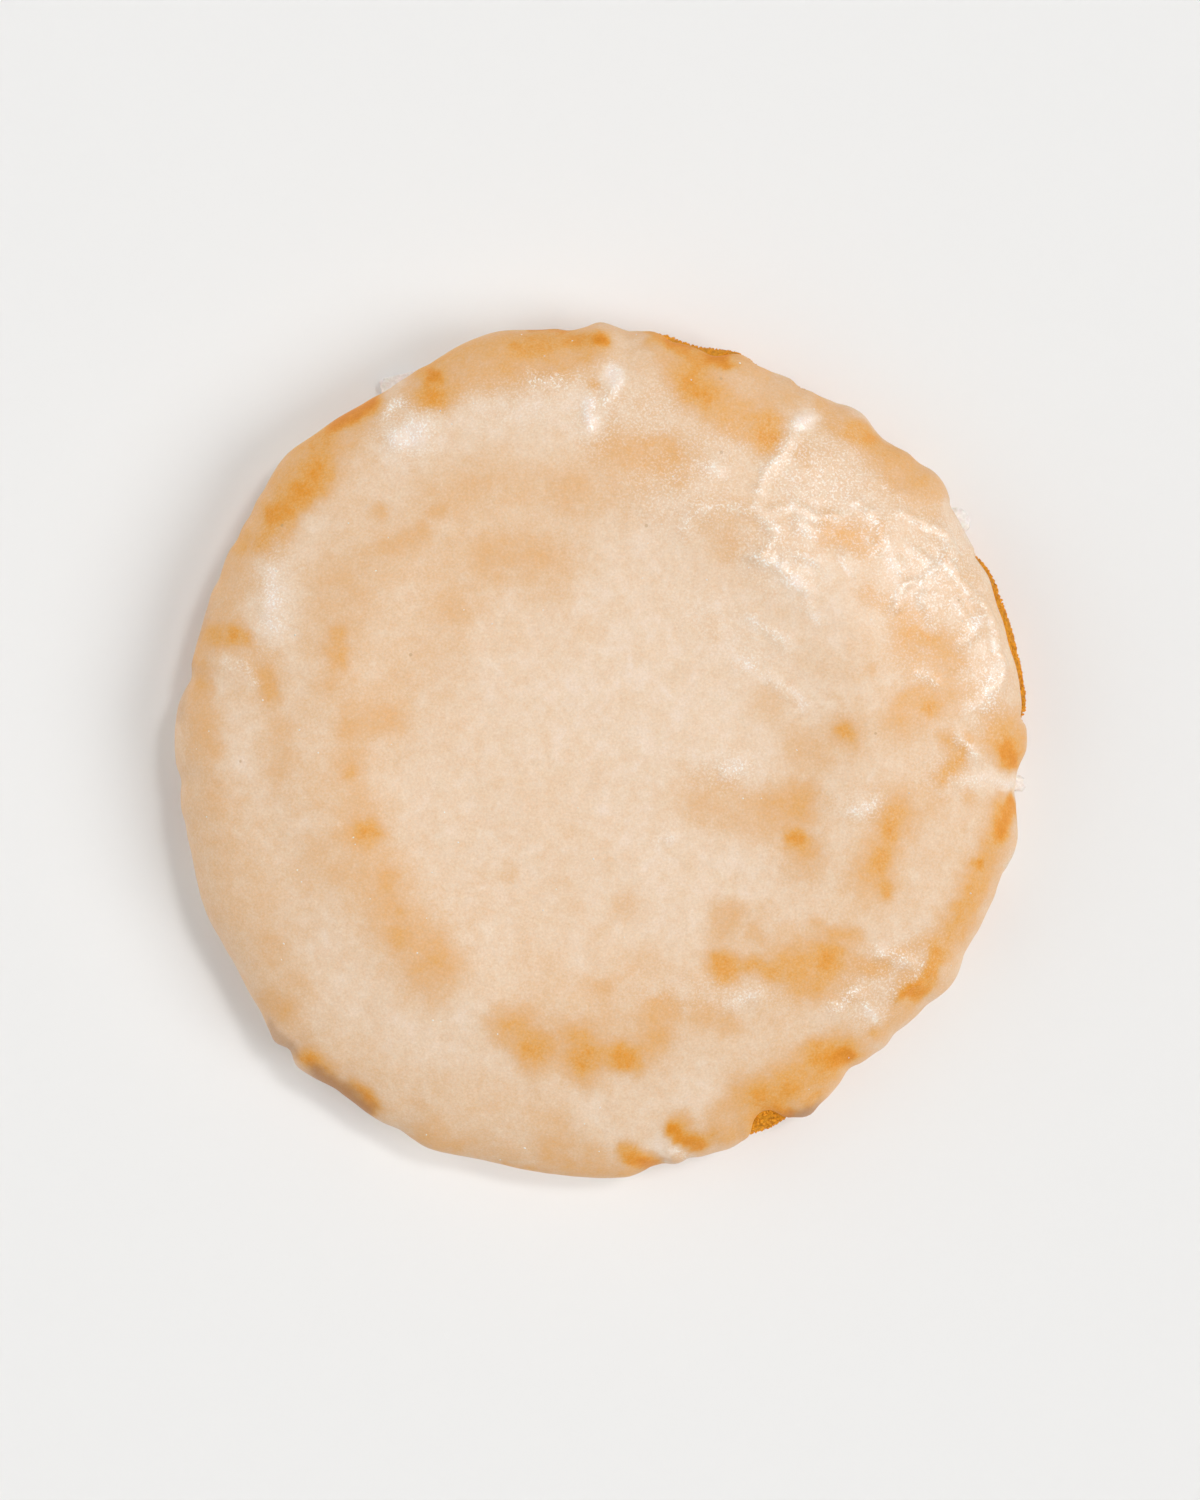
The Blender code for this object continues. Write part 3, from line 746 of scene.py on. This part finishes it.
# Raised folds in the glaze's skin: width, height, then x and y of each point.
folds = [
    (1.5, 0.24, 21.6, 34.6, 20, 33.2, 18.8, 31, 17.6, 29, 16.4, 27),
    (1.2, 0.16, 15.5, 25.5, 17, 24, 17.8, 22.5, 17.6, 21.2, 16.5, 20),
    (1.2, 0.14, 18, 24.6, 20, 25, 21, 24.2), (2.4, 0.18, 20.5, 23, 21.8, 22.4),
    (1.7, 0.26, 16.2, 19.9, 18, 19.2, 19.5, 18, 20.8, 16.6),
    (1, 0.14, 20, 20.2, 21.2, 19.7, 22.3, 19.2), (1.2, 0.12, 21, 15, 22.5, 13.3),
    (1.2, 0.16, 27.5, 24, 28.5, 22.5, 28.4, 20.5),
    (0.9, 0.12, 19.6, 25.6, 20.8, 24.6, 22.6, 23.8, 24.4, 23.9),
    (0.9, 0.12, 26.2, 25.4, 27.6, 24.2), (0.8, 0.12, 24.6, 19.6, 25.8, 18.4, 26.4, 17),
    (0.9, 0.14, 32.2, 20.6, 33.6, 19.2, 34.2, 18.2), (0.8, 0.12, 36.6, 15.4, 37.4, 13.8),
    (0.8, 0.12, 29.2, 27.6, 31.4, 26.2),
    (1, 0.16, 31, 24.5, 33, 23.6, 35, 22.8, 36.3, 21.2, 36.8, 19.8),
    (1.3, 0.15, 29.6, 21, 30, 19.6, 31, 18.4),
    (1, 0.17, 36, 20.6, 35, 19, 34, 18, 33, 17.3, 31.6, 17, 30.7, 16, 30.2, 14.6),
    (0.9, 0.18, 35, 20.2, 36.5, 18.5, 38, 16.5, 39.5, 15, 40.5, 13.5, 41.2, 11.5,
     41.6, 9, 41.6, 7, 41, 5.8),
    (1.8, 0.2, 40.9, 8.4, 40.3, 5.6), (1.8, 0.18, 39.2, 13.8, 38.3, 12.6, 37.7, 11),
    (1.2, 0.12, 33, 16, 34, 14, 34.7, 12), (2, 0.16, 34.2, 7, 32.8, 7.8),
    (2.2, 0.16, 40.2, 4.6, 38.6, 4), (1.8, 0.12, 15.5, 13.5, 18, 11.8, 19.2, 11.2),
    (2.4, 0.1, 15, 9, 18, 7, 21, 5),
    (1.6, 0.12, 8.6, 23, 10.2, 24.6, 13.4, 25.3, 16.4, 24.2, 17.6, 22.6),
    (2, 0.12, 10.4, 29.4, 12, 28.8), (1.6, 0.17, 1.2, 40, 2, 38, 0.6, 36.2),
    (1.8, 0.18, -1.2, 36, -1.2, 33.4), (2.2, 0.2, -7, 38.4, -3, 38.2),
    (3.4, 0.3, -20.6, 32, -18.8, 33), (2, 0.2, -22.2, 35, -20.8, 36.6),
    (2.6, 0.14, -34, 18, -33.8, 13), (1.8, 0.12, -38.8, 9, -36.8, 9, -36, 7),
    (2.2, 0.12, 13, -2.4, 15, -1.4), (2, 0.14, 26.4, -6.4, 28, -5.6),
    (1.6, 0.09, 37, -3.6, 40, -3.2, 43, -3.6), (1.6, 0.16, 28.3, -27.3, 27.4, -26.4),
    (1.5, 0.18, 28.4, -20.6, 31.6, -22), (1.3, 0.2, 33.8, -22.4, 30.4, -25.4),
    (2.2, 0.1, 13.6, -26, 16, -25), (1.8, 0.16, 7.6, -41.8, 9.2, -42.8),
    (1.8, 0.16, 24, -26.6, 26.6, -25), (1.5, 0.12, 5.4, -9.6, 7.4, -8.8),
    (2, 0.16, 36.8, 1.2, 38.6, -0.4), (1.4, 0.14, 43.4, -11, 42, -15.4),
]
# How a fold swells and tapers from its drawn line, and how its crest is painted whiter as a
# highlight and gets a wetter coat.
# Uneven: least, change, size and seed. Wrinkles of the crumpled skin: size, depth and seed.
foldShape = {
    "swell": 1.6,
    "taper": 2.3,
    "uneven": (0.75, 0.6, 1.8, 14),
    "crestTaper": 3.3,
    "fullCrestHeight": 0.2,
    "crestUneven": (0.75, 0.8, 1.4, 18),
    "wrinkles": ((2.4, 0.055, 15), (1.1, 0.036, 16)),
}
# Where the skin is finely crumpled and shines: x, y, width, height, turn and amount.
crumples = [
    (22.5, 27.5, 13, 11, -30, 1), (27.5, 23, 12, 9, -20, 0.8), (34.5, 18.5, 12, 13, -40, 1),
    (39.5, 9, 6, 14, 8, 0.75), (33, 12, 8, 12, 0, 0.4), (19, 20, 10, 8, -30, 0.8),
    (9, 27, 12, 10, 0, 0.6), (5, 35, 8, 7, 0, 0.6), (0, 35, 7, 9, 0, 0.7),
    (-8, 36, 16, 6, 4, 0.45), (-19.5, 33, 7, 6, 20, 0.8), (-33.8, 16, 5, 12, 0, 0.5),
    (13, -2, 8, 4, 0, 0.5), (34, 4, 8, 8, 0, 0.15), (27, -6, 6, 4, 0, 0.4),
    (30, -23, 12, 6, 30, 0.6), (12, 31, 10, 6, 0, 0.5), (37, -2, 8, 5, 0, 0.4),
    (14, 12, 14, 6, -30, 0.35), (12, -25, 16, 4, 0, 0.35), (28, -27, 5, 4, 0, 0.6),
]


def warped(x, y):
    # the same place, pulled about a little, so that drawn shapes get uneven edges
    g = glazeCoat
    pull = [sum(reach * ripples(x, y, size, seed + side) for size, reach, seed in g["warps"])
            for side in (0, 50)]
    return x + pull[0], y + pull[1]


def coverAt(x, y):
    warpX, warpY = warped(x, y)
    radius = np.hypot(x, y)
    cover = np.full(len(x), ground["level"])
    for fall, start, width in ground["falls"]:
        cover -= fall * np.clip((radius - start) / width, 0, 1)
    for level, width, *line in sorted(stains, key=lambda stain: -stain[1]):
        cover += (level - cover) * brushed(warpX, warpY, ground["brushSpread"] * width, line)
    for size, depth, seed in ground["mottling"]:
        cover += depth * ripples(x, y, size, seed)
    return np.clip(cover, 0.0, 1.0)


def coverOnRing(angles, radius, height):
    # the top's pattern sways as it runs over the edge, and evens out down the side
    run = sideRun
    along = glazeCoat["radius"] * np.radians(angles)
    down = np.clip((run["evenFrom"] - height) / run["evenOver"], 0, 1) ** 1.5
    side = np.full(len(angles), run["level"])
    for depth, stretch, size, seed in run["mottling"]:
        side += depth * ripples(along, stretch * height, size, seed)
    reach, stretch, size, seed = run["sway"]
    sway = reach * np.clip((run["swayFrom"] - height) / run["swayOver"], 0, 1)
    sway = sway * ripples(along, stretch * height, size, seed)
    turned = angles + np.degrees(sway / glazeCoat["radius"])
    top = coverAt(*placed(turned, radius, height)[:, :2].T)
    return top + run["evenShare"] * down * (side - top)


def crumpledAt(x, y):
    amount = np.zeros(len(x))
    for *shape, share in crumples:
        amount = np.maximum(amount, share * spot(x, y, *shape))
    return amount


def reliefAt(x, y):
    g, f = glazeCoat, foldShape
    relief = sum(depth * ripples(x, y, size, seed) for size, depth, seed in g["lumps"])
    warpX, warpY = warped(x, y)
    least, change, size, seed = f["uneven"]
    uneven = least + change * ripples(x, y, size, seed)
    for width, height, *line in folds:
        away = f["taper"] * strokeDistance(warpX, warpY, line) / width
        relief += f["swell"] * height * uneven * np.exp(-(away ** 2))
    crumpled = crumpledAt(x, y)
    for size, depth, seed in f["wrinkles"]:  # sharp ridges where the pattern crosses 0
        relief += depth * crumpled * (0.4 - np.abs(ripples(warpX, warpY, size, seed)))
    return relief


def crestAt(x, y):
    # along the tops of the folds: painted whiter as a highlight, with more crystal glint and a
    # wetter coat
    f = foldShape
    warpX, warpY = warped(x, y)
    crest = np.zeros(len(x))
    for width, height, *line in folds:
        away = f["crestTaper"] * strokeDistance(warpX, warpY, line) / width
        crest = np.maximum(crest, min(1, height / f["fullCrestHeight"]) * np.exp(-(away ** 2)))
    least, change, size, seed = f["crestUneven"]
    return crest * np.clip(least + change * ripples(x, y, size, seed), 0, 1)


def darkeningAt(x, y):
    # darker brown places; the one beside the notch is painted shadow
    warpX, warpY = warped(x, y)
    amount = np.zeros(len(x))
    for share, width, *line in darkenings:
        amount = np.maximum(amount, share * brushed(warpX, warpY, width, line))
    return amount


def smooth(share):
    return share * share * (3 - 2 * share)


def bareEdge(angles):
    # how much higher the glaze's edge is, and how thin it is there
    lift, thin = np.zeros(len(angles)), np.zeros(len(angles))
    waves = 1 + sum(amount * np.sin(np.radians(angles * turns)) for amount, turns in bareWaves)
    for start, end, rise, depth in bareStretches:
        inside = smooth(np.clip((angles - start) / bareEnds, 0, 1)
                        * np.clip((end - angles) / bareEnds, 0, 1))
        lift += inside * rise * waves
        thin = np.maximum(thin, inside * (1 - depth))
    return lift, thin


def sideDepth(angles):
    depth = roundLine(glazeRim, angles) - roundLine(crustRim, angles)
    for middle, width, flatter in flatSides:
        away = (np.mod(angles - middle + 180, 360) - 180) / (width / 2)
        depth -= flatter * np.exp(-away ** 4)
    return np.maximum(glazeCoat["leastSideDepth"], depth)


def coatDepth(angles, station):
    # the top's depth, easing into the side's over the shoulder
    top = glazeCoat["topDepth"]
    ease = smooth(np.clip((station - 1) / glazeCoat["easeOver"], 0, 1))
    return top + (sideDepth(angles) - top) * ease


def makeGlaze():
    g = glazeCoat
    steps = round(bakedRound["shoulderStart"] * g["radius"] / g["pointSpacing"])
    rings = []
    layers = {name: [] for name in ("cover", "darkening", "crumpled", "crest", "open")}

    def addRing(angles, station, depth, relief):
        radius, height, outR, outZ = guideFrame(angles, station)
        x, y, _ = placed(angles, radius, height).T
        out = depth + relief * reliefAt(x, y)
        ring = placed(angles, radius + outR * out, height + outZ * out)
        rings.append(ring)
        x, y, _ = ring.T
        for name, values in (("cover", coverOnRing(angles, np.hypot(x, y), height)),
                             ("darkening", darkeningAt(x, y)), ("crumpled", crumpledAt(x, y)),
                             ("crest", crestAt(x, y)), ("open", np.full(len(x), float(relief)))):
            layers[name].append(values)

    # the top, then the hanging side down to its lip, then the inner skin back up
    addRing(np.zeros(1), np.zeros(1), g["topDepth"], 1)
    for k in range(1, steps + 1):
        angles = ringAngles(6 * k)
        station = np.full(6 * k, k / steps)
        addRing(angles, station, coatDepth(angles, station), 1)

    angles = ringAngles(6 * steps)
    lift, thin = bareEdge(angles)
    hemStation = stationAtHeight(angles, roundLine(glazeHem, angles) + lift)
    amount, start = g["hemThinning"]
    bareStart = g["bareThinningFrom"]
    for k in range(1, g["hangingRings"] + 1):
        share = k / (g["hangingRings"] + 1)
        left = 1 - amount * max(0, (share - start) / (1 - start)) ** 2
        left = left * (1 - thin * max(0, (share - bareStart) / (1 - bareStart)) ** 1.5)
        station = 1 + share * (hemStation - 1)
        addRing(angles, station, coatDepth(angles, station) * left, 1)
    hemDepth = coatDepth(angles, hemStation) * (1 - thin)
    for share, part in g["lip"]:
        addRing(angles, 1 + share * (hemStation - 1), hemDepth * part, 0)

    count = g["innerCount"]
    inner = ringAngles(count)
    innerHem = roundLine(hemStation, inner)
    for share in (0.9, 0.6, 0.3):
        addRing(inner, 1 + share * (innerHem - 1), np.full(count, -g["sunkIn"]), 0)
    for k in (9, 7, 5, 3, 1):
        addRing(ringAngles(20 * k), np.full(20 * k, k / 9), np.full(20 * k, g["bedDepth"]), 0)
    addRing(np.zeros(1), np.zeros(1), np.full(1, g["bedDepth"]), 0)
    piece = skinOfRings("glazeCoat", rings,
                        {name: np.concatenate(values) for name, values in layers.items()})
    piece.data.materials.append(glazeMaterial)
    return piece


crumb = {
    "roughening": (0.9, 0.20, 2.6, 0.22),  # grain size and depth, lump size and depth
    "looseSize": 0.46,
    "loosePerSquare": 3.4,
    "looseSeed": 11,
    "hemFade": 0.6,  # loose crumbs thin out over this much above the glaze's hem
    "baseClear": 0.5,
    "sideCount": 720,
    "sideRings": 44,
    "baseRings": ((0.985, 720), (0.95, 360), (0.88, 240), (0.75, 180), (0.55, 120), (0.3, 60)),
}


def makeRound():
    rings, bare, rough = [], [], []

    def addRing(angles, station):
        radius, height = guideProfile(roundLine(crustRim, angles), station)
        rings.append(placed(angles, radius, height))
        hem = roundLine(glazeHem, angles) + bareEdge(angles)[0]
        clear = np.clip((hem - height + crumb["hemFade"]) / crumb["hemFade"], 0, 1)
        bare.append(clear * (height > crumb["baseClear"]))
        rough.append(np.clip(height, 0, 1) * np.clip((station - 0.9) / 0.3, 0, 1))

    addRing(np.zeros(1), np.zeros(1))
    for k in range(1, 13):
        addRing(ringAngles(12 * k), np.full(12 * k, k / 13))
    for k in (1, 2, 3):
        addRing(ringAngles(180 * k), np.full(180 * k, 1 + 0.08 * k))
    count = crumb["sideCount"]
    for station in np.linspace(1.28, 3.0, crumb["sideRings"]):
        addRing(ringAngles(count), np.full(count, station))
    edge = rings[-1]
    for share, ringCount in crumb["baseRings"]:
        rings.append(edge[::count // ringCount] * [share, share, 1])
        bare.append(np.zeros(ringCount))
        rough.append(np.zeros(ringCount))
    rings.append(np.zeros((1, 3)))
    return skinOfRings("bakedRound", rings, {"bare": np.concatenate([*bare, [0]]),
                                             "rough": np.concatenate([*rough, [0]])})


# Dry flakes of glaze on the hem: outline points (angle, radius), low and high side.
flakes = {
    "flakeUpperLeft": ([(115.0, 43.9), (115.2, 44.85), (116.6, 45.15), (118.2, 45.4),
                        (119.4, 45.7), (120.3, 45.9), (121.0, 45.7), (121.3, 45.1),
                        (121.6, 44.3), (121.0, 43.7)], 1.1, 1.55),
    "flakeUpperRight": ([(30.8, 44.8), (31.0, 45.6), (31.8, 46.1), (32.8, 46.15), (33.7, 45.95),
                         (34.4, 45.5), (34.5, 44.9), (33.0, 44.5), (31.6, 44.5)], 4.1, 4.8),
    "flakeRight": ([(354.3, 44.0), (354.4, 45.0), (355.0, 45.3), (355.6, 45.0), (356.2, 45.1),
                    (356.6, 44.6), (356.3, 43.9)], 3.2, 3.8),
}
flakeWobble = 0.05  # how far the added points stray from the outline
flakeUneven = 0.04  # how far a ring's points stray in height


def makeFlake(name, outline, low, high, seed):
    rng = np.random.default_rng(seed)
    angles, radii = np.array(outline).T
    points = placed(angles, radii, np.zeros(len(outline)))
    middle = points.mean(axis=0)
    spin = np.arctan2(points[:, 1] - middle[1], points[:, 0] - middle[0])
    points = points[np.argsort(spin)]
    fine = []
    for a, b in zip(points, np.roll(points, -1, axis=0)):  # two more points on every side
        fine += [a, (2 * a + b) / 3 + rng.uniform(-flakeWobble, flakeWobble, 3),
                 (a + 2 * b) / 3 + rng.uniform(-flakeWobble, flakeWobble, 3)]
    fine = np.array(fine)
    rings = [middle[None, :] + [0, 0, high]]
    for share, height in ((0.5, high + 0.03), (0.86, high - 0.04), (1.0, (low + high) / 2),
                          (0.86, low + 0.04), (0.5, low)):
        ring = middle + (fine - middle) * share
        ring[:, 2] = height + rng.uniform(-flakeUneven, flakeUneven, len(ring))
        rings.append(ring)
    rings.append(middle[None, :] + [0, 0, low])
    piece = skinOfRings(name, rings)
    piece.data.materials.append(flakeMaterial)
    return piece


glaze = makeGlaze()
specks = scatter("sugarSpecks", glaze, glazeCoat["speckSize"], glazeCoat["specksPerSquare"],
                 glazeCoat["speckSeed"], "open", flakeMaterial)
roughen(glaze, glazeCoat["roughening"], "open", glazeMaterial)
print("glaze made:", len(glaze.data.polygons), "triangles")
crust = makeRound()
grains = scatter("crumbGrains", crust, crumb["looseSize"], crumb["loosePerSquare"],
                 crumb["looseSeed"], "bare", grainMaterial)
roughen(crust, crumb["roughening"], "rough", crumbMaterial)
for piece in (glaze, crust, grains):
    settle(piece)
print("baked round made:", len(crust.data.polygons), "triangles,",
      len(grains.data.polygons), "on grains")
chips = [makeFlake(name, *facts, seed) for seed, (name, facts) in enumerate(flakes.items(), 21)]

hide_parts("sugar_glaze")
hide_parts("baked_cookie")
for piece in (glaze, specks, *chips):
    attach(piece, "root")
for piece in (crust, grains):
    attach(piece, "root")
print("pieces ride on the frame")

studio = {
    "floorHalf": 4.0,  # metres
    "floorColour": (0.80, 0.795, 0.785),
    "mottleSize": 60.0,
    "mottleShare": 0.002,
    "worldStrength": 0.20,
    "wallStrength": 1.1,  # what the camera sees past the floor
    "lens": 85.0,
    "sensorWidth": 36,
    "frameHeight": 158.36,
    "focusHeight": 5.0,
}
# Soft suns: direction they come from, height, spread of the source, strength, whether they
# light the surface and show in its gloss, and how much of a shadow they cast (1, some or 0).
lamps = {
    "key": (-18, 42, 32, 1.52, True, False, 1),
    "rightTop": (34, 62, 9, 0.65, True, False, 1),
    "sparkle": (34, 62, 9, 1.1, False, True, 1),
    "lowSparkle": (26, 42, 9, 0.6, False, True, 1),
    "rimSparkle": (14, 26, 9, 0.9, False, True, 1),
    "overhead": (0, 88, 80, 0.27, True, False, 0),
    "leftFill": (178, 24, 70, 1.0, True, False, 0.5),
    "frontFill": (280, 22, 70, 0.34, True, False, 0),
    "backFill": (88, 22, 70, 0.52, True, False, 0),
    "upperFill": (135, 26, 70, 0.36, True, False, 0),
}


def makeStudio():
    s = studio
    half = s["floorHalf"]
    mesh = bpy.data.meshes.new("floor")
    corners = [(-half, -half, 0), (half, -half, 0), (half, half, 0), (-half, half, 0)]
    mesh.from_pydata(corners, [], [(0, 1, 2, 3)])
    floor = added("floor", mesh)
    material, tree, shader, where = newMaterial("paleFloor")
    mottle = noise(tree, where, s["mottleSize"], detail=2)
    low = tuple(c * (1 - s["mottleShare"]) for c in s["floorColour"])
    colour = mixed(tree, mottle, (*low, 1), (*s["floorColour"], 1))
    fill(tree, shader, Base_Color=colour, Roughness=0.9, Specular_IOR_Level=0.1)
    mesh.materials.append(material)
    for name, (angle, rise, spread, strength, lights, shows, shadow) in lamps.items():
        lamp = bpy.data.lights.new(name, "SUN")
        lamp.energy = strength
        lamp.angle = math.radians(spread)
        lamp.use_shadow = shadow == 1
        lamp.cycles.use_multiple_importance_sampling = shadow > 0  # off, it casts no shade at all
        light = added(name, lamp)
        turn, lift = math.radians(angle), math.radians(rise)
        towards = Vector((math.cos(turn) * math.cos(lift), math.sin(turn) * math.cos(lift),
                          math.sin(lift)))
        light.rotation_euler = towards.to_track_quat("Z", "Y").to_euler()
        light.location = towards * 0.8
        light.visible_diffuse = lights
        light.visible_glossy = shows
    world = bpy.data.worlds.new("studio")
    world.use_nodes = True
    # the room lights softly, and looks as pale as the floor where the floor ends
    sky = world.node_tree
    light = node(sky, "ShaderNodeBackground", Color=(1, 1, 1, 1), Strength=s["worldStrength"])
    wall = node(sky, "ShaderNodeBackground", Color=(*s["floorColour"], 1),
                Strength=s["wallStrength"])
    seen = node(sky, "ShaderNodeLightPath").outputs["Is Camera Ray"]
    room = node(sky, "ShaderNodeMixShader", i0=seen, i1=light.outputs[0], i2=wall.outputs[0])
    sky.links.new(room.outputs[0], sky.nodes["World Output"].inputs["Surface"])
    scene.world = world
    eye = bpy.data.cameras.new("camera")
    eye.lens = s["lens"]
    eye.sensor_fit = "AUTO"
    eye.sensor_width = s["sensorWidth"]
    camera = added("camera", eye)
    distance = s["frameHeight"] * s["lens"] / s["sensorWidth"]
    camera.location = (0, 0, (distance + s["focusHeight"]) * mm)
    scene.camera = camera


makeStudio()
print("studio made")
